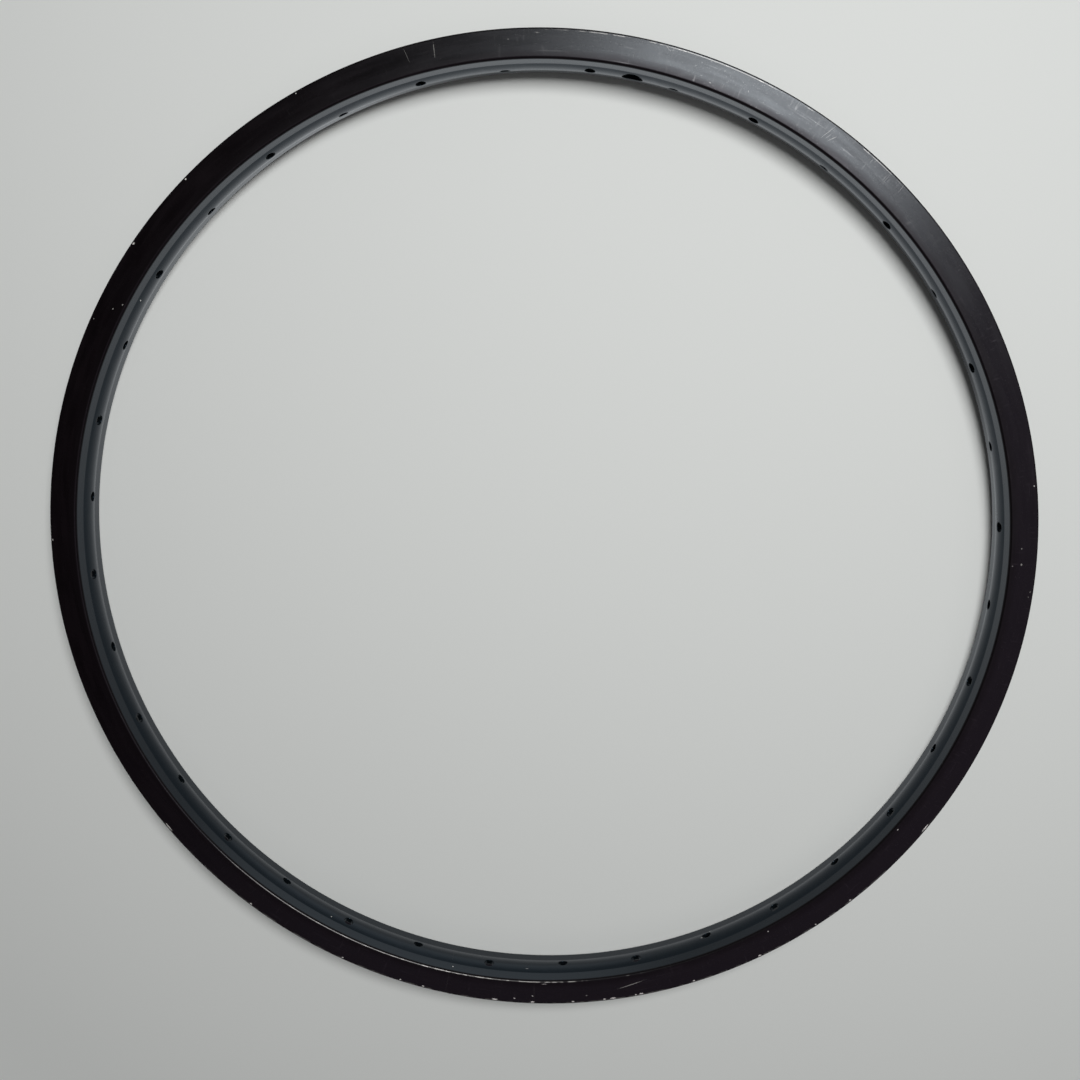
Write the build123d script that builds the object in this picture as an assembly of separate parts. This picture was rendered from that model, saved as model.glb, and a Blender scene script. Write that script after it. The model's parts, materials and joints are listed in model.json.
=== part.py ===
from build123d import *

import os
from math import asin, degrees, radians, sqrt, tan

# Bicycle rim for a 20 inch tyre: one aluminium extrusion, rolled into a hoop and joined end to end,
# drilled for the spokes and the valve. Millimetres. The hoop lies flat: the wheel's axle line is +Z,
# the hoop's centre is the origin, the valve hole is on +Y and the joint is opposite, on -Y.

# Tyre side
BEAD_SEAT_DIAMETER = 406.0  # the diameter that the tyre's beads sit on
FLANGE_HEIGHT = 6.5  # from the bead seat up to the flange's top
FLANGE_THICKNESS = 2.0
HOOK_REACH = 0.9  # the hook that holds the bead, how far it stands in from the flange
HOOK_HEIGHT = 1.8  # from the flange's top down to where the hook turns back
BEAD_SEAT_WIDTH = 2.4  # flat ledge at each flange's foot
WELL_WIDTH = 10.4  # floor of the drop centre
BED_THICKNESS = 2.2  # wall between the well's floor and the crown, where the spokes pull

# Brake tracks and hub side
RIM_WIDTH = 23.0  # across the two brake tracks
TRACK_HEIGHT = 11.4  # from the flange's top to the shoulder
SHOULDER_ANGLE = 4.5  # degrees, the shoulder falls towards the crown
CROWN_WIDTH = 10.8  # crown of the spoke bed, between its two creases
CROWN_HEIGHT = 1.05  # the crown stands this far in from the creases

# Edges
FLANGE_EDGE_RADIUS = 0.5  # outer corner of the brake track
HOOK_EDGE_RADIUS = 0.6
TRACK_EDGE_RADIUS = 1.1  # corner between brake track and shoulder
SEAT_CORNER_RADIUS = 0.8  # foot of the flange
WELL_EDGE_RADIUS = 1.2  # where the ledge turns down into the well
WELL_CORNER_RADIUS = 1.5
CREASE_RADIUS = 0.8  # where the shoulder meets the crown

# Holes
SPOKE_COUNT = 36
SPOKE_HOLE_DIAMETER = 4.3
SPOKE_STAGGER = 1.5  # each spoke hole's place to one side of the middle, by turns
VALVE_HOLE_DIAMETER = 8.5
VALVE_ANGLE = 90.0  # degrees from +X

# Radii and half widths that follow from those
seat_r = BEAD_SEAT_DIAMETER / 2
top_r = seat_r + FLANGE_HEIGHT
shoulder_r = top_r - TRACK_HEIGHT
track_z = RIM_WIDTH / 2
flange_z = track_z - FLANGE_THICKNESS
ledge_z = flange_z - BEAD_SEAT_WIDTH
crease_z = CROWN_WIDTH / 2
crease_r = shoulder_r - (track_z - crease_z) * tan(radians(SHOULDER_ANGLE))
crown_r = crease_r - CROWN_HEIGHT
crown_arc = (crease_z**2 + CROWN_HEIGHT**2) / (2 * CROWN_HEIGHT)
crown_centre_r = crown_r + crown_arc
floor_arc = crown_arc - BED_THICKNESS
well_z = WELL_WIDTH / 2
well_r = crown_centre_r - sqrt(floor_arc**2 - well_z**2)
spoke_cant = degrees(asin(SPOKE_STAGGER / crown_arc))


def rounded(face, corner, radius):
    """Rounds the corner of a flat face at (radius, height) and its mirror image below the middle."""
    r, z = corner
    pair = [face.vertices().sort_by_distance((r, side * z))[0] for side in (1, -1)]
    return face.fillet_2d(radius, pair)


def section():
    """Cross-section of the extrusion as (radius, height), the same above and below the middle."""
    flange_top = (top_r, track_z)
    hook_top = (top_r, flange_z - HOOK_REACH)
    hook_foot = (top_r - HOOK_HEIGHT, flange_z - HOOK_REACH)
    hook_back = (top_r - HOOK_HEIGHT - HOOK_REACH, flange_z)
    seat_corner = (seat_r, flange_z)
    ledge = (seat_r, ledge_z)
    well_corner = (well_r, well_z)
    track_foot = (shoulder_r, track_z)
    crease = (crease_r, crease_z)

    outer = [flange_top, hook_top, hook_foot, hook_back, seat_corner, ledge, well_corner]
    inner = [flange_top, track_foot, crease]
    edges = Curve()
    for side in (1, -1):
        edges += Polyline([(r, side * z) for r, z in outer])
        edges += Polyline([(r, side * z) for r, z in inner])
    floor_middle = (crown_r + BED_THICKNESS, 0)
    edges += ThreePointArc(well_corner, floor_middle, (well_r, -well_z))
    edges += ThreePointArc(crease, (crown_r, 0), (crease_r, -crease_z))
    face = make_face(edges).face()

    face = rounded(face, flange_top, FLANGE_EDGE_RADIUS)
    face = rounded(face, hook_top, HOOK_EDGE_RADIUS)
    face = rounded(face, hook_foot, HOOK_EDGE_RADIUS)
    face = rounded(face, seat_corner, SEAT_CORNER_RADIUS)
    face = rounded(face, ledge, WELL_EDGE_RADIUS)
    face = rounded(face, well_corner, WELL_CORNER_RADIUS)
    face = rounded(face, track_foot, TRACK_EDGE_RADIUS)
    return rounded(face, crease, CREASE_RADIUS)


def drill(diameter):
    """Round cutter along X that reaches from the crown arc's centre in past the crown."""
    length = crown_arc + CROWN_HEIGHT
    return Pos(-length / 2, 0, 0) * Rot(Y=90) * Cylinder(diameter / 2, length)


def spoke_drills():
    """Cutters for the spoke holes, square to the crown, by turns on its upper and its lower side."""
    pitch = 360 / SPOKE_COUNT
    cutter = drill(SPOKE_HOLE_DIAMETER)
    drills = []
    for k in range(SPOKE_COUNT):
        angle = VALVE_ANGLE + (k + 0.5) * pitch
        side = 1 if k % 2 == 0 else -1
        drills.append(Rot(Z=angle) * Pos(crown_centre_r, 0, 0) * Rot(Y=side * spoke_cant) * cutter)
    return drills


def rim():
    """The hoop, with the valve hole midway between two spoke holes."""
    hoop = revolve(Plane.XZ * section(), Axis.Z)
    valve_drill = Rot(Z=VALVE_ANGLE) * Pos(crown_centre_r, 0, 0) * drill(VALVE_HOLE_DIAMETER)
    return hoop - spoke_drills() - valve_drill


os.makedirs("parts", exist_ok=True)
export_step(rim(), "parts/rim.step")
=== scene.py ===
"""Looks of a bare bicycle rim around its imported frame: one hoop of black anodised aluminium, worn by use.

Sizes are in millimetres and angles in degrees unless a name or comment says otherwise; metres come back where
a mesh, a lamp or the camera is written. The hoop lies flat: its axle line is +Z, its valve hole is on +Y and
its joint is opposite, on -Y.
"""

import json
import logging
from dataclasses import asdict, dataclass
from enum import Enum, IntEnum

import bpy
import numpy as np
from mathutils import Matrix, Vector


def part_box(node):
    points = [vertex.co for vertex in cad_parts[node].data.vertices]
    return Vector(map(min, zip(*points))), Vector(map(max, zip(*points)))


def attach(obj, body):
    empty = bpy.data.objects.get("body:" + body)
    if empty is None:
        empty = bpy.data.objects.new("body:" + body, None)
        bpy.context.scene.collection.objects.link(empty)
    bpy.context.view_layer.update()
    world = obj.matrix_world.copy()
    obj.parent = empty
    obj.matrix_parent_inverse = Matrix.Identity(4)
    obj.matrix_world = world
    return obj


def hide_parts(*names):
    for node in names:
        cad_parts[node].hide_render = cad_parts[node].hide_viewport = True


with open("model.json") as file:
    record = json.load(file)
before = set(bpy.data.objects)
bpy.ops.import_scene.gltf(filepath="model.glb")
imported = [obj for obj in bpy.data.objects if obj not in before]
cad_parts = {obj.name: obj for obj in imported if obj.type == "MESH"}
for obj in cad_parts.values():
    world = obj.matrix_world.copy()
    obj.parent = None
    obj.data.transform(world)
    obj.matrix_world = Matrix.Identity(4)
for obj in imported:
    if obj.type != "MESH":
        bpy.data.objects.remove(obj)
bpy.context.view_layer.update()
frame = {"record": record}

NODE = "rim"
MM = 0.001
FULL_TURN = 360.0
MEAN_RADIUS = 204.0  # middle of the brake track, where lengths along the hoop are measured
log = logging.getLogger("rim")

Array = np.ndarray
Pair = tuple[Array, Array]
Tree = bpy.types.NodeTree
Sockets = bpy.types.bpy_prop_collection
Socket = bpy.types.NodeSocket
Value = float | Socket
Colour = tuple[float, float, float]
Place = tuple[float, float, float]
Span = tuple[float, float]


def metres(span: Span) -> Span:
    """A span of millimetres in metres."""
    return span[0] * MM, span[1] * MM


class Zone(IntEnum):
    """The hoop's three finishes; each number is a material slot of the mesh."""

    BRAKE_TRACK = 0
    HUB_SIDE = 1
    TYRE_SIDE = 2


class Across(Enum):
    """The measure that places a mark across its face, by its name in the group that tells the place."""

    RADIUS = "Radius"
    HEIGHT = "Height"


@dataclass(frozen=True)
class Corner:
    """A corner of the section: place, rounding, and the zones of the rounding and of the run after it."""

    radius: float
    height: float
    rounding: float
    steps: int
    zone: Zone
    run_zone: Zone

    @property
    def point(self) -> Array:
        """The sharp corner as (radius, height)."""
        return np.array([self.radius, self.height])


def rounded_corner(corner: Corner, before: Array, after: Array) -> Array:
    """Points of a corner's rounding.

    The arc touches each side at rounding * tan(turn / 2) from the corner and turns evenly between them.

    Args:
        corner: The corner to round.
        before: A point on the side that comes in.
        after: A point on the side that goes out.

    Returns:
        An array of steps + 1 points (radius, height).
    """
    come = (corner.point - before) / np.linalg.norm(corner.point - before)
    go = (after - corner.point) / np.linalg.norm(after - corner.point)
    turn = np.arctan2(come[0] * go[1] - come[1] * go[0], come @ go)
    start = corner.point - come * corner.rounding * np.tan(abs(turn) / 2)
    spoke = np.sign(turn) * corner.rounding * np.array([come[1], -come[0]])
    angles = turn * np.linspace(0, 1, corner.steps + 1)[:, None]
    swung = np.cos(angles) * spoke + np.sin(angles) * np.array([-spoke[1], spoke[0]])
    return start - spoke + swung


@dataclass(frozen=True)
class Drilling:
    """The round holes through the spoke bed, one row each."""

    centres: Array
    outward: Array
    radii: Array

    @classmethod
    def from_record(cls, mounts: list[dict]) -> "Drilling":
        """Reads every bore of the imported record.

        Args:
            mounts: The record's mounts.

        Returns:
            The holes in millimetres, their axes pointing at the tyre side.
        """
        bores = [mount for mount in mounts if mount["kind"] == "bore"]
        return cls(
            centres=np.array([bore["pos_m"] for bore in bores]) / MM,
            outward=np.array([bore["axis"] for bore in bores]),
            radii=np.array([bore["dims"]["r_mm"] for bore in bores]),
        )

    @property
    def angles(self) -> Array:
        """Each hole's place round the hoop."""
        return np.degrees(np.arctan2(self.centres[:, 1], self.centres[:, 0]))


@dataclass
class Hoop:
    """The rolled extrusion: its section carried round the axle line, with spoke and valve holes let in."""

    outside_radius: float
    half_width: float
    drilling: Drilling
    flange_height: float = 6.5
    flange_thickness: float = 2.0
    hook_reach: float = 0.9
    hook_height: float = 1.8
    seat_width: float = 2.4
    well_half_width: float = 5.2
    bed_thickness: float = 2.2
    track_height: float = 11.4
    shoulder_slope: float = 4.5
    crown_half_width: float = 5.4
    crown_height: float = 1.05
    crease_rounding: float = 0.8
    track_rounding: float = 1.1
    flange_rounding: float = 0.5
    hook_rounding: float = 0.6
    hook_back_rounding: float = 0.3
    seat_rounding: float = 0.8
    ledge_rounding: float = 1.2
    well_rounding: float = 1.5
    deburr: float = 0.22  # rounding of the holes' edges
    columns: int = 576  # every hole's middle falls on a column
    bed_steps: int = 12  # rows across the crown, and across the well's floor
    track_steps: int = 6
    flange_steps: int = 5
    tyre_steps: int = 3
    blunt_steps: int = 2  # for corners that turn little
    support: float = 0.25  # distance of a support row from the rounding beside it
    support_share: float = 0.25  # but at most this share of the run
    patch_columns: int = 4  # columns that a hole's patch takes up on either side of it
    patch_shares: tuple[float, ...] = (0.3, 0.6, 0.85, 1.0)  # rings from a patch's border to the hole
    land: float = 1.5  # the ring outside a hole's edge, in deburrs from the bore
    lip_rings: int = 4
    slide_steps: int = 12

    def __post_init__(self) -> None:
        """Works out the radii that the driving sizes lead to."""
        self.seat_radius = self.outside_radius - self.flange_height
        self.shoulder_radius = self.outside_radius - self.track_height
        fall = (self.half_width - self.crown_half_width) * np.tan(np.radians(self.shoulder_slope))
        self.crease_radius = self.shoulder_radius - fall
        self.crown_arc = (self.crown_half_width**2 + self.crown_height**2) / (2 * self.crown_height)
        self.floor_arc = self.crown_arc - self.bed_thickness
        self.arc_centre = self.crease_radius - self.crown_height + self.crown_arc

    @property
    def hole_columns(self) -> Array:
        """The column at each hole's middle."""
        return np.round(self.drilling.angles / FULL_TURN * self.columns).astype(int)

    def bed_radius(self, height: Array | float, arc: float) -> Array:
        """Radius of the crown or the well's floor: arc centre - sqrt(arc^2 - height^2)."""
        return self.arc_centre - np.sqrt(arc**2 - height**2)

    def bed_tangent(self, height: float, arc: float) -> Array:
        """Direction of the bed's arc towards growing height: (height / sqrt(arc^2 - height^2), 1)."""
        return np.array([height / np.sqrt(arc**2 - height**2), 1.0])

    def corners(self) -> list[Corner]:
        """The section's corners above the middle.

        Returns:
            The corners from the crown's crease over the brake track and the hook to the well's floor.
        """
        top, side = self.outside_radius, self.half_width
        wall = side - self.flange_thickness
        hook = wall - self.hook_reach
        hook_foot = top - self.hook_height
        hook_back = hook_foot - self.hook_reach
        ledge = wall - self.seat_width
        well = self.well_half_width
        well_radius = self.bed_radius(well, self.floor_arc)
        blunt, fine = self.blunt_steps, self.tyre_steps
        track, hub, tyre = Zone.BRAKE_TRACK, Zone.HUB_SIDE, Zone.TYRE_SIDE
        return [
            Corner(self.crease_radius, self.crown_half_width, self.crease_rounding, blunt, hub, hub),
            Corner(self.shoulder_radius, side, self.track_rounding, self.track_steps, track, track),
            Corner(top, side, self.flange_rounding, self.flange_steps, track, tyre),
            Corner(top, hook, self.hook_rounding, fine, tyre, tyre),
            Corner(hook_foot, hook, self.hook_rounding, fine, tyre, tyre),
            Corner(hook_back, wall, self.hook_back_rounding, blunt, tyre, tyre),
            Corner(self.seat_radius, wall, self.seat_rounding, fine, tyre, tyre),
            Corner(self.seat_radius, ledge, self.ledge_rounding, fine, tyre, tyre),
            Corner(well_radius, well, self.well_rounding, blunt, tyre, tyre),
        ]

    def flank(self) -> Pair:
        """The section above the middle without the two arcs of the bed.

        Each corner is rounded, and each run between two roundings gets a support row close to either end, so
        that smooth shading leaves the run flat.

        Returns:
            The points (radius, height) and the zone of the face that follows each point.
        """
        corners = self.corners()
        first, last = corners[0], corners[-1]
        ends = [
            first.point - self.bed_tangent(first.height, self.crown_arc),
            *[corner.point for corner in corners],
            last.point - self.bed_tangent(last.height, self.floor_arc),
        ]
        points: list[Array] = []
        zones: list[int] = []
        for before, corner, after in zip(ends, corners, ends[2:]):
            arc = rounded_corner(corner, before, after)
            if points:
                run = arc[0] - points[-1][-1]
                share = min(self.support / np.linalg.norm(run), self.support_share)
                points.append(points[-1][-1] + run * np.array([[share], [1 - share]]))
                zones += [zones[-1]] * 2
            points.append(arc)
            zones += [corner.zone] * corner.steps + [corner.run_zone]
        return np.concatenate(points), np.array(zones)

    def section(self) -> tuple[Array, Array, int]:
        """The closed section: crown upwards, upper flank, floor downwards, lower flank mirrored.

        Returns:
            The points (radius, height), the zone of the face after each point, and the floor's first row.
        """
        upper, upper_zones = self.flank()
        share = np.linspace(-1, 1, self.bed_steps + 1)[1:-1]
        crown_z = share * upper[0, 1]
        floor_z = -share * upper[-1, 1]
        crown = np.column_stack([self.bed_radius(crown_z, self.crown_arc), crown_z])
        floor = np.column_stack([self.bed_radius(floor_z, self.floor_arc), floor_z])
        lower = upper[::-1] * np.array([1.0, -1.0])
        points = np.concatenate([lower[-1:], crown, upper, floor, lower[:-1]])
        hub = np.full(self.bed_steps, Zone.HUB_SIDE)
        tyre = np.full(self.bed_steps - 1, Zone.TYRE_SIDE)
        zones = np.concatenate([hub, upper_zones, tyre, upper_zones[-2::-1]])
        return points, zones, self.bed_steps + len(upper) - 1

    def swept(self, points: Array) -> Array:
        """Carries the section round the axle line: (r cos a, r sin a, z) on a grid of rows and columns.

        Args:
            points: The section's points (radius, height).

        Returns:
            Points by section row and column.
        """
        turn = np.arange(self.columns) * (2 * np.pi / self.columns)
        radius, height = points[:, 0, None], points[:, 1, None]
        flat = np.broadcast_to(height, (len(points), self.columns))
        return np.stack([radius * np.cos(turn), radius * np.sin(turn), flat], axis=-1)

    def grid_faces(self, rows: int) -> Array:
        """Quads of the closed grid, turned so that they face out of the metal.

        Args:
            rows: Number of the section's points.

        Returns:
            Four vertex numbers by row and column.
        """
        place = np.arange(rows * self.columns).reshape(rows, self.columns)
        up = np.roll(place, -1, axis=0)
        return np.stack([place, up, np.roll(up, -1, axis=1), np.roll(place, -1, axis=1)], axis=-1)

    def outside_patches(self, rows: int, floor_row: int) -> Array:
        """Tells which of the grid's faces no hole's patch takes up.

        Args:
            rows: Number of the section's points.
            floor_row: The floor's first row.

        Returns:
            A truth value by row and column.
        """
        span = np.arange(-self.patch_columns, self.patch_columns)
        cut = ((self.hole_columns[:, None] + span) % self.columns).ravel()
        kept = np.ones((rows, self.columns), bool)
        kept[: self.bed_steps, cut] = False
        kept[floor_row : floor_row + self.bed_steps, cut] = False
        return kept

    def patch_loop(self, first_row: int, step: int) -> Array:
        """Grid places on the border of every hole's patch, anticlockwise as the crown's chart shows it.

        Args:
            first_row: The bed's row at its lowest height.
            step: 1 where rows rise with height, -1 where they fall.

        Returns:
            Vertex numbers by hole and place on the border, starting at the patch's lower right corner.
        """
        side, half = np.arange(self.bed_steps), self.patch_columns
        span = np.arange(2 * half)
        top = np.full(2 * half, self.bed_steps)
        rows = np.concatenate([side, top, self.bed_steps - side, top * 0])
        offsets = np.concatenate([side * 0 + half, half - span, side * 0 - half, span - half])
        columns = (self.hole_columns[:, None] + offsets) % self.columns
        return (first_row + step * rows) * self.columns + columns

    def on_bed(self, from_axis: Array, hubward: Array, arc: float) -> Array:
        """Slides points along their hole's axis onto the bed.

        The bed is the tube of points that lie one arc's radius from the ring of arc centres, so each step
        adds what is still missing of that radius.

        Args:
            from_axis: Points at the right distance from the hole's axis.
            hubward: The axis direction, towards the hub.
            arc: Radius of the crown's or the floor's arc.

        Returns:
            The points on the bed.
        """
        moved = from_axis
        for _ in range(self.slide_steps):
            ring = np.hypot(moved[..., 0], moved[..., 1]) - self.arc_centre
            moved = moved + hubward * (arc - np.hypot(ring, moved[..., 2]))[..., None]
        return moved

    def patch_rings(self, border: Array, outer: Array, arc: float) -> Array:
        """Rings on the bed between a patch's border and a hole's outer ring.

        Angle and height go from the border's to the ring's by each share, and the bed gives the radius.

        Args:
            border: Points on the patch's border, by hole and place.
            outer: Points of the ring round the hole, in the same order.
            arc: Radius of the crown's or the floor's arc.

        Returns:
            The rings by hole, share and place, without the border and with the outer ring.
        """
        share = np.array(self.patch_shares)[None, :, None]
        turn = np.arctan2(border[..., 1], border[..., 0])
        swing = np.angle(np.exp(1j * (np.arctan2(outer[..., 1], outer[..., 0]) - turn)))
        angle = turn[:, None] + share * swing[:, None]
        height = border[:, None, :, 2] + share * (outer[..., 2] - border[..., 2])[:, None]
        radius = self.bed_radius(height, arc)
        return np.stack([radius * np.cos(angle), radius * np.sin(angle), height], axis=-1)

    def hole_strips(self, crown_border: Array, floor_border: Array) -> Array:
        """Each hole as a strip of rings: over the crown, round its edge, through the wall, out on the floor.

        A ring round the hole is centre + radius * (cos along + sin across), slid onto the bed. The deburred
        edge goes in by deburr * sin(lap) and down the bore by deburr * (1 - cos(lap)), over a quarter turn.

        Args:
            crown_border: Points on each patch's border on the crown, by hole and place.
            floor_border: The same on the well's floor.

        Returns:
            Ring points by hole, ring and place, without the two borders.
        """
        count = crown_border.shape[1]
        places = 2 * np.pi * (np.arange(count) - self.bed_steps / 2) / count
        hubward = -self.drilling.outward[:, None, None, :]
        angles = np.radians(self.drilling.angles)
        along = np.stack([-np.sin(angles), np.cos(angles), 0 * angles], axis=-1)[:, None, None, :]
        across = np.cross(along, hubward)
        around = np.cos(places)[:, None] * along + np.sin(places)[:, None] * across
        centres = self.drilling.centres[:, None, None, :]
        radii = self.drilling.radii[:, None, None, None]
        lap = np.linspace(0, np.pi / 2, self.lip_rings)[None, :, None, None]
        sides = []
        for border, arc, way in ((crown_border, self.crown_arc, -1), (floor_border, self.floor_arc, 1)):
            outer = self.on_bed(centres + (radii + self.land * self.deburr) * around, hubward, arc)
            edge = self.on_bed(centres + (radii + self.deburr) * around, hubward, arc)
            lip = edge - self.deburr * np.sin(lap) * around
            lip = lip + way * self.deburr * (1 - np.cos(lap)) * hubward
            sides.append(np.concatenate([self.patch_rings(border, outer[:, 0], arc), lip], axis=1))
        return np.concatenate([sides[0], sides[1][:, ::-1]], axis=1)

    def hole_faces(self, loops: Pair, fresh: Array) -> Pair:
        """Quads between neighbouring rings of every hole's strip.

        Args:
            loops: Vertex numbers of the patches' borders on the crown and on the floor.
            fresh: Vertex numbers of the strips' own points, by hole, ring and place.

        Returns:
            Four vertex numbers a face, and each face's zone: hub side up to the middle of the wall.
        """
        strip = np.concatenate([loops[0][:, None], fresh, loops[1][:, None]], axis=1)
        ahead = np.roll(strip, -1, axis=2)
        quads = np.stack([strip[:, :-1], strip[:, 1:], ahead[:, 1:], ahead[:, :-1]], axis=-1)
        rings = fresh.shape[1]
        zones = np.where(np.arange(rings + 1) <= rings // 2, Zone.HUB_SIDE, Zone.TYRE_SIDE)
        return quads.reshape(-1, 4), np.broadcast_to(zones[None, :, None], quads.shape[:3]).ravel()

    def build(self) -> bpy.types.Object:
        """Puts grid, patches and holes into one mesh.

        Returns:
            The hoop's object, at the origin, with a zone number on each face.
        """
        points, zones, floor_row = self.section()
        grid = self.swept(points).reshape(-1, 3)
        kept = self.outside_patches(len(points), floor_row)
        grid_quads = self.grid_faces(len(points))[kept]
        grid_zones = np.broadcast_to(zones[:, None], kept.shape)[kept]

        loops = self.patch_loop(0, 1), self.patch_loop(floor_row + self.bed_steps, -1)
        strips = self.hole_strips(grid[loops[0]], grid[loops[1]])
        fresh = len(grid) + np.arange(strips.size // 3).reshape(strips.shape[:3])
        hole_quads, hole_zones = self.hole_faces(loops, fresh)

        vertices = np.concatenate([grid, strips.reshape(-1, 3)])
        quads = np.concatenate([grid_quads, hole_quads])
        return mesh_object("hoop", vertices * MM, quads, np.concatenate([grid_zones, hole_zones]))


def mesh_object(name: str, vertices: Array, quads: Array, slots: Array) -> bpy.types.Object:
    """Writes a mesh of quads, leaving out vertices that no face uses.

    Args:
        name: Name of the object and its mesh.
        vertices: Points in metres.
        quads: Four vertex numbers a face.
        slots: The material slot of each face.

    Returns:
        The object, at the origin and linked into the scene.
    """
    used, numbers = np.unique(quads, return_inverse=True)
    mesh = bpy.data.meshes.new(name)
    mesh.vertices.add(len(used))
    mesh.vertices.foreach_set("co", vertices[used].astype(np.float32).ravel())
    mesh.loops.add(quads.size)
    mesh.loops.foreach_set("vertex_index", numbers.astype(np.int32).ravel())
    mesh.polygons.add(len(quads))
    mesh.polygons.foreach_set("loop_start", np.arange(0, quads.size, 4, dtype=np.int32))
    mesh.polygons.foreach_set("material_index", slots.astype(np.int32).ravel())
    mesh.update(calc_edges=True)
    mesh.validate()
    mesh.shade_smooth()
    made = bpy.data.objects.new(name, mesh)
    bpy.context.scene.collection.objects.link(made)
    return made


@dataclass(frozen=True)
class Grain:
    """A noise: grains a metre, octaves of finer noise, and the values between which a mask of it sets in."""

    scale: float
    octaves: float
    cut: Span = (0.0, 1.0)


@dataclass(frozen=True)
class DrawnGrain:
    """A noise drawn out on the hoop: grains a metre round it and outwards, octaves, and a mask's values."""

    around: float
    outward: float
    octaves: float
    cut: Span = (0.0, 1.0)


class Graph:
    """Short words for placing and wiring the nodes of one tree."""

    def __init__(self, tree: Tree) -> None:
        """Takes the tree and empties it."""
        self.tree = tree
        tree.nodes.clear()

    def feed(self, socket: Socket, value: Value | Colour | Vector) -> None:
        """Links a socket into an input, or sets a plain value on it; a plain colour is made opaque.

        Args:
            socket: The input.
            value: What it takes.
        """
        if isinstance(value, Socket):
            self.tree.links.new(value, socket)
        elif socket.type == "RGBA":
            socket.default_value = (*value, 1.0)
        else:
            socket.default_value = value

    def add(self, kind: str, inputs: dict | None = None, **settings: object) -> bpy.types.Node:
        """Adds a node.

        Args:
            kind: Blender's node type.
            inputs: Values or sockets by input name or number.
            settings: The node's own properties.

        Returns:
            The node.
        """
        node = self.tree.nodes.new(kind)
        for name, value in settings.items():
            setattr(node, name, value)
        for name, value in (inputs or {}).items():
            self.feed(node.inputs[name], value)
        return node

    def group(self, tree: Tree, inputs: dict | None = None) -> Sockets:
        """The outputs of a node group's node."""
        return self.add("ShaderNodeGroup", inputs, node_tree=tree).outputs

    def here(self) -> Socket:
        """The place on the object, in metres."""
        return self.add("ShaderNodeTexCoord").outputs["Object"]

    def parts(self, place: Socket) -> Sockets:
        """A place's x, y and z."""
        return self.add("ShaderNodeSeparateXYZ", {0: place}).outputs

    def length(self, place: Socket) -> Socket:
        """A place's distance from the origin."""
        return self.add("ShaderNodeVectorMath", {0: place}, operation="LENGTH").outputs["Value"]

    def math(self, operation: str, *values: Value) -> Socket:
        """A Math node's result."""
        return self.add("ShaderNodeMath", dict(enumerate(values)), operation=operation).outputs[0]

    def hypot(self, first: Value, second: Value) -> Socket:
        """The root of the sum of two squares."""
        squares = self.math("MULTIPLY", first, first), self.math("MULTIPLY", second, second)
        return self.math("SQRT", self.math("ADD", *squares))

    def ramp(self, value: Value, low: Value, high: Value, start: float = 0.0, end: float = 1.0) -> Socket:
        """The value carried smoothly from low..high to start..end."""
        inputs = {"Value": value, "From Min": low, "From Max": high, "To Min": start, "To Max": end}
        return self.add("ShaderNodeMapRange", inputs, interpolation_type="SMOOTHSTEP").outputs["Result"]

    def noise(self, place: Socket, grain: Grain) -> Socket:
        """A noise value from about 0 to 1."""
        inputs = {"Vector": place, "Scale": grain.scale, "Detail": grain.octaves}
        return self.add("ShaderNodeTexNoise", inputs).outputs["Fac"]

    def drawn_noise(self, grain: DrawnGrain) -> Socket:
        """Noise drawn out along or across the hoop.

        It is read at (x / r * mean radius * around, y / r * mean radius * around, (r + z) * outward).

        Args:
            grain: The noise.

        Returns:
            The noise value.
        """
        x, y, z = self.parts(self.here())
        reach = self.hypot(x, y)
        stretch = self.math("DIVIDE", grain.around * MEAN_RADIUS * MM, reach)
        place = {0: self.math("MULTIPLY", x, stretch), 1: self.math("MULTIPLY", y, stretch)}
        place[2] = self.math("MULTIPLY", self.math("ADD", reach, z), grain.outward)
        read_at = self.add("ShaderNodeCombineXYZ", place).outputs[0]
        return self.noise(read_at, Grain(1.0, grain.octaves))

    def blend(self, share: Value, first: Socket | Colour, second: Socket | Colour) -> Socket:
        """Mixes one colour into another.

        Args:
            share: How much of the second, from 0 to 1.
            first: The colour at 0.
            second: The colour at 1.

        Returns:
            The mixed colour.
        """
        node = self.add("ShaderNodeMix", data_type="RGBA")
        sockets = {socket.identifier: socket for socket in node.inputs}
        for name, value in (("Factor_Float", share), ("A_Color", first), ("B_Color", second)):
            self.feed(sockets[name], value)
        return next(socket for socket in node.outputs if socket.identifier == "Result_Color")


def new_group(name: str, inputs: list[str], outputs: list[str]) -> tuple[Graph, Sockets, Sockets]:
    """Starts a node group of plain numbers.

    Args:
        name: The group's name.
        inputs: Names of the inputs; those in small letters are the fields of one mark or edge line.
        outputs: Names of the outputs.

    Returns:
        The group's graph, what it is given, and the sockets to feed, both by name.
    """
    tree = bpy.data.node_groups.new(name, "ShaderNodeTree")
    for label in inputs:
        tree.interface.new_socket(label, in_out="INPUT", socket_type="NodeSocketFloat")
    for label in outputs:
        tree.interface.new_socket(label, in_out="OUTPUT", socket_type="NodeSocketFloat")
    graph = Graph(tree)
    return graph, graph.add("NodeGroupInput").outputs, graph.add("NodeGroupOutput").inputs


@dataclass(frozen=True)
class Mark:
    """A chip or scratch: angle, radius or height of its middle, half length and width, strength, slant."""

    at: float
    ring: float
    length: float
    width: float
    strength: float = 1.0
    slant: float = 0.0


@dataclass(frozen=True)
class EdgeWearAndHighlight:
    """A stretch of a corner in bare colour, rubbed, and on some stretches also a painted highlight of the
    lamp:
    its ring, middle angle, half span, share, and how broken it is.
    """

    ring: float
    middle: float
    half_span: float
    share: float
    broken: float


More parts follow.
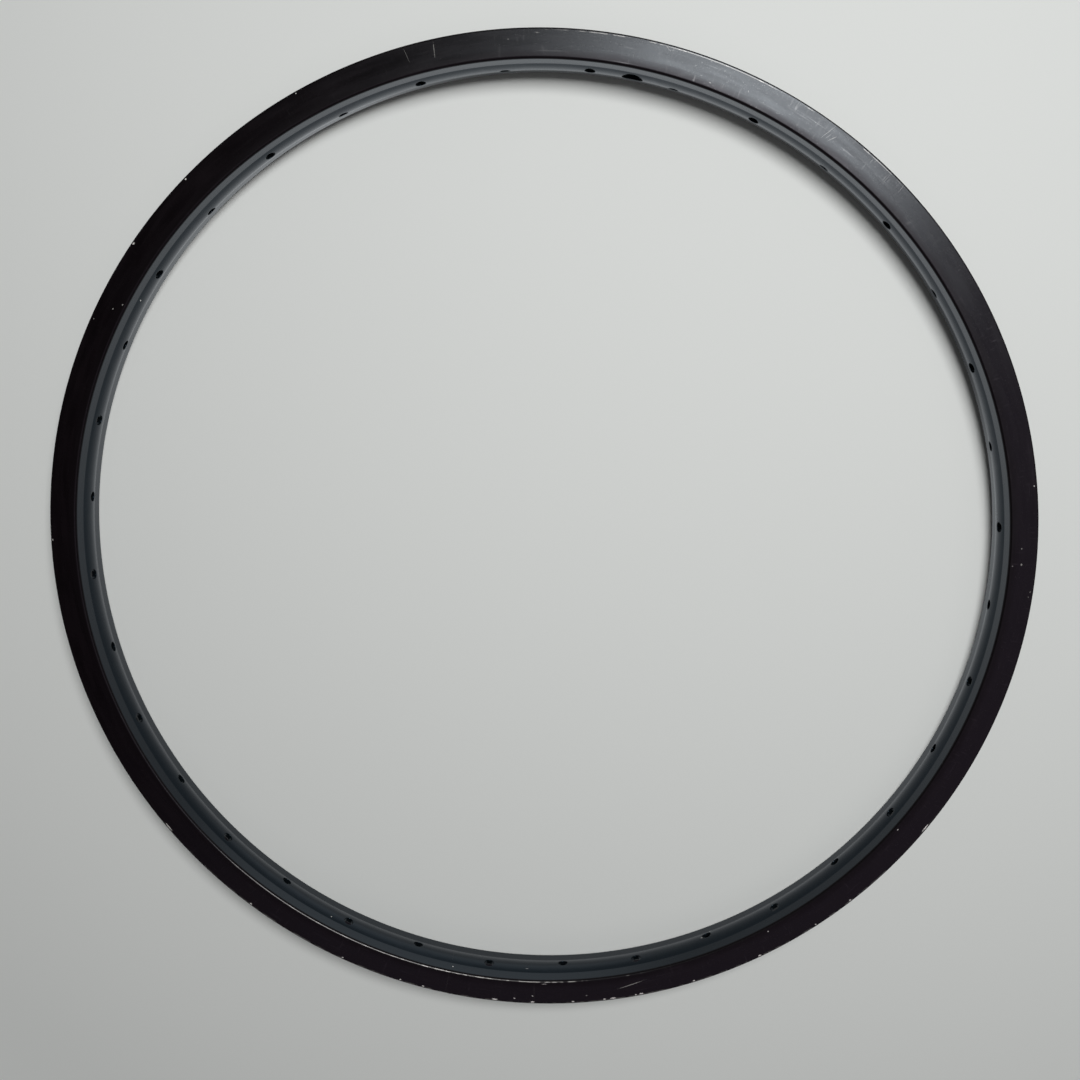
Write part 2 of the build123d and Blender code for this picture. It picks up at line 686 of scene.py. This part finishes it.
@dataclass
class WearGroups:
    """Node groups for the place on the hoop and for the wear and painted edge highlights that the finishes
    share.
    """

    chip_edge: Grain = Grain(2600.0, 3.0)
    raggedness: float = 2.6
    mark_fade: Span = (0.7, 1.25)  # in half lengths and half widths from the mark's middle
    line_fade: Span = (0.06, 0.22)  # distance from an edge line's ring
    stretch_fade: Span = (0.55, 1.0)  # in half spans from its middle
    edge_patches: Grain = Grain(230.0, 4.0, (0.47, 0.62))
    scratch_patches: Grain = Grain(90.0, 2.0, (0.4, 0.65))
    cross_scratches: DrawnGrain = DrawnGrain(1800.0, 190.0, 1.0, (0.64, 0.78))
    long_scratches: DrawnGrain = DrawnGrain(45.0, 1800.0, 1.0, (0.64, 0.78))
    specks: Grain = Grain(1900.0, 1.0, (0.66, 0.76))
    clouds: Grain = Grain(70.0, 3.0)
    fine_grain: Grain = Grain(900.0, 3.0)
    streaks: DrawnGrain = DrawnGrain(45.0, 420.0, 3.0)

    def __post_init__(self) -> None:
        """Builds each group once."""
        self.place = self.make_place()
        self.mark = self.make_mark()
        self.worn_edge = self.make_worn_edge()
        self.glints = self.make_glints()
        self.mottle = self.make_mottle()

    def make_place(self) -> Tree:
        """Place on the hoop: angle from +X, radius and height.

        Ragged is a noise about 0 that roughens the edges of chips, and Upper is 1 on the upper half.

        Returns:
            The group.
        """
        outputs = ["Angle", "Radius", "Height", "Ragged", "Upper"]
        graph, _, result = new_group("place_on_hoop", [], outputs)
        here = graph.here()
        x, y, z = graph.parts(here)
        angle = graph.math("DEGREES", graph.math("ARCTAN2", y, x))
        graph.feed(result["Angle"], graph.math("FLOORED_MODULO", angle, FULL_TURN))
        graph.feed(result["Radius"], graph.math("DIVIDE", graph.hypot(x, y), MM))
        graph.feed(result["Height"], graph.math("DIVIDE", z, MM))
        graph.feed(result["Ragged"], graph.math("SUBTRACT", graph.noise(here, self.chip_edge), 0.5))
        graph.feed(result["Upper"], graph.math("GREATER_THAN", z, 0.0))
        return graph.tree

    def make_mark(self) -> Tree:
        """One chip or scratch: 1 inside an ellipse turned by its slant, whose edge the ragged noise shifts.

        Returns:
            The group.
        """
        inputs = ["Angle", "Across", "Ragged", "at", "ring", "length", "width", "strength", "slant"]
        graph, given, result = new_group("wear_mark", inputs, ["Mask"])
        turn = graph.math("RADIANS", graph.math("SUBTRACT", given["Angle"], given["at"]))
        along = graph.math("MULTIPLY", turn, MEAN_RADIUS)
        across = graph.math("SUBTRACT", given["Across"], given["ring"])
        slant = graph.math("RADIANS", given["slant"])
        cosine, sine = graph.math("COSINE", slant), graph.math("SINE", slant)
        lengthwise = graph.math("MULTIPLY_ADD", along, cosine, graph.math("MULTIPLY", across, sine))
        crosswise = graph.math("MULTIPLY", across, cosine)
        crosswise = graph.math("SUBTRACT", crosswise, graph.math("MULTIPLY", along, sine))
        lengthwise = graph.math("DIVIDE", lengthwise, given["length"])
        crosswise = graph.math("DIVIDE", crosswise, given["width"])
        far = graph.hypot(lengthwise, crosswise)
        far = graph.math("MULTIPLY_ADD", given["Ragged"], self.raggedness, far)
        inside = graph.ramp(far, *self.mark_fade, 1.0, 0.0)
        graph.feed(result["Mask"], graph.math("MULTIPLY", inside, given["strength"]))
        return graph.tree

    def make_worn_edge(self) -> Tree:
        """A rubbed corner, on some stretches also a painted highlight: 1 close to its ring, broken up by
        noise, fading out at both ends of its stretch.

        Returns:
            The group.
        """
        inputs = ["Angle", "Across", "ring", "middle", "half_span", "share", "broken"]
        graph, given, result = new_group("worn_edge", inputs, ["Mask"])
        off = graph.math("ABSOLUTE", graph.math("SUBTRACT", given["Across"], given["ring"]))
        line = graph.ramp(off, *self.line_fade, 1.0, 0.0)
        patches = graph.ramp(graph.noise(graph.here(), self.edge_patches), *self.edge_patches.cut)
        patches = graph.math("MAXIMUM", patches, graph.math("SUBTRACT", 1.0, given["broken"]))
        swing = graph.math("ABSOLUTE", graph.math("SUBTRACT", given["Angle"], given["middle"]))
        swing = graph.math("DIVIDE", swing, given["half_span"])
        stretch = graph.ramp(swing, *self.stretch_fade, 1.0, 0.0)
        mask = graph.math("MULTIPLY", graph.math("MULTIPLY", line, patches), stretch)
        graph.feed(result["Mask"], graph.math("MULTIPLY", mask, given["share"]))
        return graph.tree

    def make_glints(self) -> Tree:
        """Fine scratches across and along the hoop, and specks: noise cut off high, the scratches in patches.

        Returns:
            The group.
        """
        graph, _, result = new_group("glints", [], ["Mask"])
        here = graph.here()
        patches = graph.ramp(graph.noise(here, self.scratch_patches), *self.scratch_patches.cut)
        across = graph.ramp(graph.drawn_noise(self.cross_scratches), *self.cross_scratches.cut)
        along = graph.ramp(graph.drawn_noise(self.long_scratches), *self.long_scratches.cut)
        specks = graph.ramp(graph.noise(here, self.specks), *self.specks.cut)
        lines = graph.math("MULTIPLY", graph.math("MAXIMUM", across, along), patches)
        graph.feed(result["Mask"], graph.math("MAXIMUM", lines, specks))
        return graph.tree

    def make_mottle(self) -> Tree:
        """Unevenness of the anodising about 0: broad clouds, fine grain, and streaks along the hoop.

        Returns:
            The group.
        """
        graph, _, result = new_group("mottle", [], ["Broad", "Fine", "Streaks"])
        here = graph.here()
        noises = {"Broad": graph.noise(here, self.clouds), "Fine": graph.noise(here, self.fine_grain)}
        noises["Streaks"] = graph.drawn_noise(self.streaks)
        for name, value in noises.items():
            graph.feed(result[name], graph.math("SUBTRACT", value, 0.5))
        return graph.tree


@dataclass(frozen=True)
class Anodising:
    """Black anodising on aluminium, worn to the bare metal where marks lie; the same bare colour also paints
    highlights along some corners.

    The tint scales what the finish mirrors. Glints are a thin coat where fine scratches catch the light, and
    the inner darkening makes the inner part of the track darker and mirror less.
    """

    name: str
    colour: Colour
    tint: Colour
    roughness: float
    uneven: float
    streaks: float
    across: Across
    marks: tuple[Mark, ...] = ()
    worn_edges: tuple[EdgeWearAndHighlight, ...] = ()
    ior: float = 1.58
    clouding: Span = (0.75, 1.25)
    lightness: Span = (0.6, 1.4)
    glint: float = 0.0
    # inner band of the brake track made darker and less mirroring
    grime: float = 0.0
    grime_colour: Colour = (0.0062, 0.0042, 0.005)
    grime_radii: Span = (199.0, 202.4)
    grime_waver: float = 2.5
    grime_roughness: float = 0.07
    # bare metal of chips and rubbing; the same colour also paints the lamp's highlight along some corners
    bare: Colour = (0.84, 0.82, 0.78)
    bare_roughness: float = 0.38
    bare_metallic: float = 0.3

    def bare_share(self, graph: Graph, groups: WearGroups, place: Sockets) -> Value:
        """How far the bare colour shows, for wear and for painted edge highlights: the strongest of the marks
        and edge lines at each place.

        Args:
            graph: The material's tree.
            groups: The shared wear.
            place: The outputs of the place group, by name.

        Returns:
            The share from 0 to 1; a plain 0 where there is neither mark nor edge line.
        """
        share: Value = 0.0
        upper = place["Upper"] if self.across is Across.RADIUS else 1.0
        here = {"Angle": place["Angle"], "Across": place[self.across.value]}
        for mark in self.marks:
            inputs = here | {"Ragged": place["Ragged"]} | asdict(mark)
            mask = graph.group(groups.mark, inputs)["Mask"]
            share = graph.math("MAXIMUM", share, graph.math("MULTIPLY", mask, upper))
        for edge in self.worn_edges:
            mask = graph.group(groups.worn_edge, here | asdict(edge))["Mask"]
            share = graph.math("MAXIMUM", share, graph.math("MULTIPLY", mask, upper))
        return share

    def material(self, groups: WearGroups) -> bpy.types.Material:
        """Wires the finish: clouds first, then the inner darkening, the glints, and the bare metal and
        painted edge highlights over them.

        Args:
            groups: The shared wear.

        Returns:
            The material.
        """
        made = bpy.data.materials.new(self.name)
        made.use_nodes = True
        graph = Graph(made.node_tree)
        place = graph.group(groups.place)
        mottle = graph.group(groups.mottle)

        cloud = graph.math("MULTIPLY_ADD", mottle["Broad"], self.uneven, 1.0)
        cloud = graph.math("MULTIPLY_ADD", mottle["Fine"], self.uneven, cloud)
        cloud = graph.math("MULTIPLY_ADD", mottle["Streaks"], self.streaks, cloud)
        dark, light = (tuple(share * part for part in self.colour) for share in self.lightness)
        colour = graph.blend(graph.ramp(cloud, *self.clouding), dark, light)
        rough = graph.math("MULTIPLY", cloud, self.roughness)
        metallic: Value = 0.0
        # darker inner band of the brake track: a dark colour, part metallic so that it mirrors less, and a
        # little rougher
        if self.grime:
            wavering = graph.math("MULTIPLY_ADD", mottle["Broad"], self.grime_waver, place["Radius"])
            inner_band = graph.ramp(wavering, *self.grime_radii, 1.0, 0.0)
            colour = graph.blend(inner_band, colour, self.grime_colour)
            rough = graph.math("MULTIPLY_ADD", inner_band, self.grime_roughness, rough)
            metallic = graph.math("MULTIPLY", inner_band, self.grime)
        coat: Value = 0.0
        if self.glint:
            coat = graph.math("MULTIPLY", graph.group(groups.glints)["Mask"], self.glint)
        # bare metal of marks and rubbing, and painted highlights along some corners
        if self.marks or self.worn_edges:
            bare = self.bare_share(graph, groups, place)
            colour = graph.blend(bare, colour, self.bare)
            rough = graph.math("MAXIMUM", rough, graph.math("MULTIPLY", bare, self.bare_roughness))
            gain = graph.math("SUBTRACT", self.bare_metallic, metallic)
            metallic = graph.math("MULTIPLY_ADD", bare, gain, metallic)
        shader = graph.add(
            "ShaderNodeBsdfPrincipled",
            {
                "Base Color": colour,
                "Metallic": metallic,
                "Roughness": rough,
                "IOR": self.ior,
                "Specular Tint": self.tint,
                "Coat Weight": coat,
                "Coat Roughness": self.roughness,
            },
        )
        graph.add("ShaderNodeOutputMaterial", {"Surface": shader.outputs[0]})
        return made


FLANGE_EDGE = 208.6  # ring of the chips on the outer corner of the brake track, and of the bright line there, partly rubbing and partly a painted highlight of the lamp
FLANGE_LIP = 208.9
SHOULDER_EDGE = 198.65  # ring of the bright corner line between brake track and shoulder: rubbed bare in beads, and partly a painted highlight of the lamp
OUTER_EDGE_CHIPS = (
    Mark(336.5, FLANGE_EDGE, 1.8, 0.25),
    Mark(323.7, FLANGE_EDGE, 0.4, 0.25),
    Mark(318.5, FLANGE_EDGE, 0.4, 0.2),
    Mark(310.5, FLANGE_EDGE, 0.6, 0.25),
    Mark(301.7, FLANGE_EDGE, 0.5, 0.25),
    Mark(294.9, FLANGE_EDGE, 0.8, 0.3),
    Mark(294.2, FLANGE_EDGE, 0.35, 0.25),
    Mark(291.3, FLANGE_EDGE, 1.0, 0.3),
    Mark(290.2, FLANGE_EDGE, 0.5, 0.3),
    Mark(286.2, FLANGE_EDGE, 0.5, 0.3),
    Mark(281.1, FLANGE_EDGE, 0.7, 0.32),
    Mark(276.3, FLANGE_EDGE, 1.1, 0.32),
    Mark(267.1, FLANGE_EDGE, 0.5, 0.25),
    Mark(264.1, FLANGE_EDGE, 0.4, 0.25),
    Mark(256.3, FLANGE_EDGE, 0.4, 0.25),
    Mark(242.9, FLANGE_EDGE, 0.5, 0.25),
    Mark(228.8, FLANGE_EDGE, 2.0, 0.25, 0.7),
    Mark(190.1, FLANGE_EDGE, 0.3, 0.2, 0.7),
    Mark(153.4, FLANGE_EDGE, 0.45, 0.3),
    Mark(144.0, FLANGE_EDGE, 0.4, 0.3),
    Mark(128.4, FLANGE_EDGE, 0.3, 0.2, 0.8),
)
TRACK_SPECKS = (
    Mark(334.3, 199.8, 0.35, 0.22, 0.7),
    Mark(313.0, 200.1, 0.28, 0.2, 0.7),
    Mark(288.0, 205.9, 0.35, 0.25, 0.25),
    Mark(278.8, 207.2, 0.3, 0.28, 0.9),
    Mark(281.1, 205.6, 0.3, 0.22, 0.7),
    Mark(282.6, 199.5, 1.2, 0.16, 0.5),
    Mark(20.0, 208.1, 0.3, 0.25, 0.6),
    Mark(12.8, 202.8, 0.35, 0.22, 0.25, 30.0),
    Mark(10.9, 203.2, 0.42, 0.32, 0.3),
    Mark(10.7, 199.6, 0.28, 0.22, 0.25),
    Mark(7.7, 208.1, 0.3, 0.2, 0.2, 20.0),
    Mark(7.1, 207.6, 0.25, 0.2, 0.16),
    Mark(161.1, 202.6, 0.28, 0.2, 0.5),
    Mark(160.1, 199.8, 0.32, 0.22, 0.55),
    Mark(163.2, 208.0, 0.22, 0.18, 0.4),
    Mark(104.2, 205.4, 0.35, 0.2, 0.16),
    Mark(101.0, 207.5, 0.7, 0.16, 0.2),
    Mark(81.3, 200.7, 0.45, 0.2, 0.1, 10.0),
    Mark(80.2, 206.6, 0.5, 0.2, 0.12),
    Mark(77.0, 203.3, 0.4, 0.22, 0.18, 60.0),
)
JOINT_ON_TRACK = Mark(270.0, 203.8, 5.0, 0.08, 0.025, 90.0)
TRACK_SCRATCHES = (
    Mark(293.9, 203.3, 5.2, 0.16, 0.35, -9.5),
    Mark(281.3, 203.5, 4.5, 0.1, 0.03, 90.0),
    Mark(115.5, 206.0, 2.4, 0.1, 0.14, 80.0),
    Mark(112.4, 205.2, 2.6, 0.13, 0.25, 95.0),
    Mark(86.8, 208.0, 1.2, 0.14, 0.18, 40.0),
    Mark(86.2, 208.0, 0.9, 0.13, 0.15, 120.0),
    Mark(67.2, 205.1, 2.9, 0.13, 0.17, 109.0),
    Mark(66.9, 204.2, 1.8, 0.12, 0.13, 111.0),
    Mark(66.4, 204.3, 1.7, 0.14, 0.2, 121.0),
    Mark(59.0, 205.5, 1.4, 0.12, 0.12, 89.0),
    Mark(57.1, 207.8, 1.6, 0.13, 0.14, 80.0),
)
JOINT_ON_CROWN = Mark(270.0, 0.0, 11.5, 0.07, 0.02, 90.0)
CROWN_CHIPS = (
    Mark(270.3, 7.8, 0.35, 0.3, 0.8),
    Mark(280.2, 3.2, 0.6, 0.18, 0.25),
    Mark(252.6, 4.0, 0.3, 0.25, 0.5),
    Mark(158.9, 3.7, 0.35, 0.3),
    Mark(305.5, -4.9, 0.5, 0.4, 0.8),
    Mark(304.3, -0.5, 0.6, 0.5, 0.35),
    Mark(355.0, 1.9, 0.3, 0.3, 0.35),
)
EDGE_WEAR_AND_HIGHLIGHTS = (
    # on the outer corner where the lamp's sheen falls: patches rubbed bare, and a painted highlight of the
    # lamp along the corner
    EdgeWearAndHighlight(FLANGE_EDGE, 81.0, 8.0, 0.5, 0.4),
    EdgeWearAndHighlight(FLANGE_EDGE, 78.0, 26.0, 0.35, 1.0),
    EdgeWearAndHighlight(FLANGE_LIP, 285.0, 60.0, 0.15, 1.0),
    # on the shoulder corner at the lower left: beads rubbed bare, and a painted highlight of the lamp along
    # the corner
    EdgeWearAndHighlight(SHOULDER_EDGE, 259.0, 27.0, 0.24, 0.4),
    EdgeWearAndHighlight(SHOULDER_EDGE, 277.0, 20.0, 0.42, 1.0),
)

FINISHES = {
    Zone.BRAKE_TRACK: Anodising(
        name="anodised_brake_track",
        colour=(0.0038, 0.0022, 0.0028),
        tint=(0.865, 0.932, 1.0),
        ior=1.317,
        roughness=0.27,
        uneven=0.12,
        streaks=0.55,
        across=Across.RADIUS,
        marks=(*OUTER_EDGE_CHIPS, *TRACK_SPECKS, *TRACK_SCRATCHES, JOINT_ON_TRACK),
        worn_edges=EDGE_WEAR_AND_HIGHLIGHTS,
        glint=0.5,
        grime=0.42,
    ),
    Zone.HUB_SIDE: Anodising(
        name="anodised_hub_side",
        colour=(0.003, 0.0042, 0.0052),
        tint=(0.2, 0.3, 0.4),
        roughness=0.26,
        uneven=0.12,
        streaks=0.2,
        across=Across.HEIGHT,
        marks=(*CROWN_CHIPS, JOINT_ON_CROWN),
    ),
    Zone.TYRE_SIDE: Anodising(
        name="anodised_tyre_side",
        colour=(0.004, 0.0035, 0.004),
        tint=(0.8, 0.86, 0.92),
        roughness=0.4,
        uneven=0.2,
        streaks=0.3,
        across=Across.RADIUS,
    ),
}


@dataclass(frozen=True)
class Picture:
    """The picture's own directions: right, up, and height above the upper brake track."""

    upper_track: float  # metres
    turn: float = 11.75
    backdrop: Colour = (0.6, 0.61, 0.6)

    def turned(self, direction: Place | Vector) -> Vector:
        """A direction of the picture in the hoop's frame."""
        return Matrix.Rotation(np.radians(self.turn), 3, "Z") @ Vector(direction)

    def in_frame(self, place: Place) -> Vector:
        """A place of the picture in the hoop's frame, in metres."""
        return self.turned(place) * MM + Vector((0, 0, self.upper_track))

    def along(self, graph: Graph, place: Socket, direction: Place | Vector) -> Socket:
        """How far a place lies along a direction of the picture, as their dot product."""
        inputs = {0: place, 1: self.turned(direction)}
        return graph.add("ShaderNodeVectorMath", inputs, operation="DOT_PRODUCT").outputs["Value"]


@dataclass(frozen=True)
class KeyLamp:
    """One round soft lamp above the picture's upper right."""

    picture: Picture
    place: Place = (207.0, 369.0, 900.0)
    width: float = 360.0
    power: float = 7.15

    @property
    def side(self) -> Vector:
        """The way along the floor towards the lamp, in the picture."""
        return Vector((*self.place[:2], 0.0)).normalized()

    def build(self) -> None:
        """Hangs the lamp, turned to the hoop's middle."""
        light = bpy.data.lights.new("key_lamp", "AREA")
        light.shape = "DISK"
        light.size = self.width * MM
        light.energy = self.power
        lamp = bpy.data.objects.new("key_lamp", light)
        lamp.location = self.picture.in_frame(self.place)
        lamp.rotation_euler = (-lamp.location).to_track_quat("-Z", "Y").to_euler()
        lamp.visible_camera = False
        bpy.context.scene.collection.objects.link(lamp)


@dataclass(frozen=True)
class Floor:
    """Pale paper under the hoop, and how bright it lies in the hoop's reflections."""

    picture: Picture
    lamp: KeyLamp
    height: float  # metres
    colour: Colour = (0.83, 0.85, 0.83)
    reach: float = 6000.0
    steps: int = 25
    sweep: Span = (340.0, 640.0)
    glow_colour: Colour = (0.96, 1.0, 1.03)
    glow_side: Place = (0.14, 0.99, 0.0)
    glow_span: Span = (-200.0, 200.0)
    glow_level: float = 0.37
    glow_rise: float = 0.53
    glow_power: float = 1.8
    lower_side: Place = (-0.29, -0.957, 0.0)
    lower_span: Span = (145.0, 178.0)
    lower_end: Span = (184.0, 190.0)
    lower_rise: float = 0.45
    shade_span: Span = (110.0, 165.0)
    shade_start: Span = (193.5, 197.2)
    shade_depth: float = 0.82

    def build(self) -> None:
        """Lays a flat square under the hoop: (x, y, floor height) on an even grid."""
        line = np.linspace(-self.reach, self.reach, self.steps) * MM
        x, y = np.meshgrid(line, line, indexing="ij")
        grid = np.stack([x, y, np.full_like(x, self.height)], axis=-1)
        place = np.arange(self.steps**2).reshape(self.steps, self.steps)
        quads = np.stack([place[:-1, :-1], place[1:, :-1], place[1:, 1:], place[:-1, 1:]], axis=-1)
        quads = quads.reshape(-1, 4)
        floor = mesh_object("floor", grid.reshape(-1, 3), quads, np.zeros(len(quads)))
        floor.data.materials.append(self.material())

    def material(self) -> bpy.types.Material:
        """Pale paper that fades into the backdrop far out; the hoop mirrors it in a light of its own.

        Returns:
            The material.
        """
        made = bpy.data.materials.new("floor_paper")
        made.use_nodes = True
        made.cycles.emission_sampling = "NONE"
        graph = Graph(made.node_tree)
        here = graph.here()
        reach = graph.length(here)
        paper = graph.add("ShaderNodeBsdfDiffuse", {"Color": self.colour})
        level = self.mirrored_level(graph, here, reach)
        glow = graph.add("ShaderNodeEmission", {"Color": self.glow_colour, "Strength": level})
        sweep = graph.add("ShaderNodeEmission", {"Color": self.picture.backdrop, "Strength": 1.0})
        path = graph.add("ShaderNodeLightPath").outputs
        mirrored = graph.math("MAXIMUM", path["Is Glossy Ray"], path["Is Transmission Ray"])
        far = graph.math("MULTIPLY", graph.ramp(reach, *metres(self.sweep)), path["Is Camera Ray"])
        near = graph.add("ShaderNodeMixShader", {0: mirrored, 1: paper.outputs[0], 2: glow.outputs[0]})
        whole = graph.add("ShaderNodeMixShader", {0: far, 1: near.outputs[0], 2: sweep.outputs[0]})
        graph.add("ShaderNodeOutputMaterial", {"Surface": whole.outputs[0]})
        return made

    def mirrored_level(self, graph: Graph, here: Socket, reach: Socket) -> Socket:
        """Brightness of the floor as the hoop mirrors it.

        It is painted light: it rises with a power of the share of the way along the glow's side, gets a
        painted lift of light inside the hoop's lower edge, and a painted shadow where the hoop's own shadow
        lies on the lamp's side.

        Args:
            graph: The floor's tree.
            here: Place on the floor.
            reach: Its distance from the middle.

        Returns:
            The level; 1 is white.
        """
        low, high = metres(self.glow_span)
        inputs = {"Value": self.picture.along(graph, here, self.glow_side), "From Min": low, "From Max": high}
        share = graph.add("ShaderNodeMapRange", inputs).outputs["Result"]
        grown = graph.math("POWER", share, self.glow_power)
        level = graph.math("MULTIPLY_ADD", grown, self.glow_rise, self.glow_level)

        # painted light from in front, lifting the mirrored floor inside the hoop's lower edge
        below = self.picture.along(graph, here, self.lower_side)
        lift = graph.ramp(below, *metres(self.lower_span), 0.0, self.lower_rise)
        lift = graph.math("MULTIPLY", lift, graph.ramp(reach, *metres(self.lower_end), 1.0, 0.0))

        # painted shadow of the hoop on its mirrored floor, on the lamp's side
        under = graph.ramp(self.picture.along(graph, here, self.lamp.side), *metres(self.shade_span))
        shade = graph.math("MULTIPLY", under, graph.ramp(reach, *metres(self.shade_start)))
        left = graph.math("SUBTRACT", 1.0, graph.math("MULTIPLY", shade, self.shade_depth))
        return graph.math("MULTIPLY", graph.math("ADD", level, lift), left)


@dataclass(frozen=True)
class Sky:
    """Dim light from all round: pale close to the horizon, a soft patch high above the lower right."""

    picture: Picture
    overhead: Colour = (0.035, 0.035, 0.037)
    horizon: Colour = (0.72, 0.73, 0.72)
    horizon_rise: Span = (0.04, 0.2)
    patch: Colour = (0.295, 0.288, 0.281)
    patch_mirrored: Colour = (0.52, 0.4, 0.52)
    patch_side: Place = (0.7, -0.7, 0.0)
    patch_span: Span = (-0.07, 0.2)
    patch_rise: Span = (0.72, 0.86)

    def build(self) -> None:
        """Wires the world; the camera itself sees the backdrop instead."""
        world = bpy.data.worlds.new("sky")
        world.use_nodes = True
        bpy.context.scene.world = world
        graph = Graph(world.node_tree)
        ray = graph.add("ShaderNodeTexCoord").outputs["Generated"]
        rise = graph.parts(ray)[2]
        beside = graph.ramp(self.picture.along(graph, ray, self.patch_side), *self.patch_span)
        share = graph.math("MULTIPLY", beside, graph.ramp(rise, *self.patch_rise))
        path = graph.add("ShaderNodeLightPath").outputs
        patch = graph.blend(path["Is Glossy Ray"], self.patch, self.patch_mirrored)
        above = graph.blend(share, self.overhead, patch)
        round_about = graph.blend(graph.ramp(rise, *self.horizon_rise), self.horizon, above)
        colour = graph.blend(path["Is Camera Ray"], round_about, self.picture.backdrop)
        back = graph.add("ShaderNodeBackground", {"Color": colour, "Strength": 1.0})
        graph.add("ShaderNodeOutputWorld", {"Surface": back.outputs[0]})


@dataclass(frozen=True)
class Camera:
    """The photograph's camera: a plain look at its aim, a small roll, and the shift of its framing."""

    picture: Picture
    place: Place = (29.79, 86.77, 462.43)
    aim: Place = (7.53, -0.13, 0.0)
    roll: float = -0.26
    shift: Span = (-0.0111, 0.0147)  # in picture widths
    lens: float = 37.02
    sensor: float = 36.0
    clip: Span = (10.0, 50000.0)

    def build(self) -> None:
        """Sets the camera up and makes it the scene's."""
        camera = bpy.data.cameras.new("camera")
        camera.sensor_width = self.sensor
        camera.lens = self.lens
        camera.shift_x, camera.shift_y = self.shift
        camera.clip_start, camera.clip_end = metres(self.clip)
        place, aim = self.picture.in_frame(self.place), self.picture.in_frame(self.aim)
        back = (place - aim).normalized()
        right = self.picture.turned((0, 1, 0)).cross(back).normalized()
        look = Matrix((right, back.cross(right), back)).transposed()
        roll = Matrix.Rotation(np.radians(self.roll), 3, "Z")
        made = bpy.data.objects.new("camera", camera)
        made.matrix_world = Matrix.Translation(place) @ (look @ roll).to_4x4()
        bpy.context.scene.collection.objects.link(made)
        bpy.context.scene.camera = made


def main() -> None:
    """Builds the hoop and the studio round it, and reports each piece."""
    low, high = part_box(NODE)
    hoop = Hoop(high.x / MM, high.z / MM, Drilling.from_record(frame["record"]["mounts"]))
    rim = hoop.build()
    groups = WearGroups()
    for zone in Zone:
        rim.data.materials.append(FINISHES[zone].material(groups))
    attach(rim, "root")
    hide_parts(NODE)
    log.info("rim: %d faces, %d holes", len(rim.data.polygons), len(hoop.drilling.radii))

    picture = Picture(high.z)
    lamp = KeyLamp(picture)
    for part in (Floor(picture, lamp, low.z), lamp, Sky(picture), Camera(picture)):
        part.build()
        log.info("studio: %s", type(part).__name__)
    bpy.context.scene.view_settings.view_transform = "Standard"


if __name__ == "__main__":
    logging.basicConfig(level=logging.INFO, format="%(name)s: %(message)s")
    main()
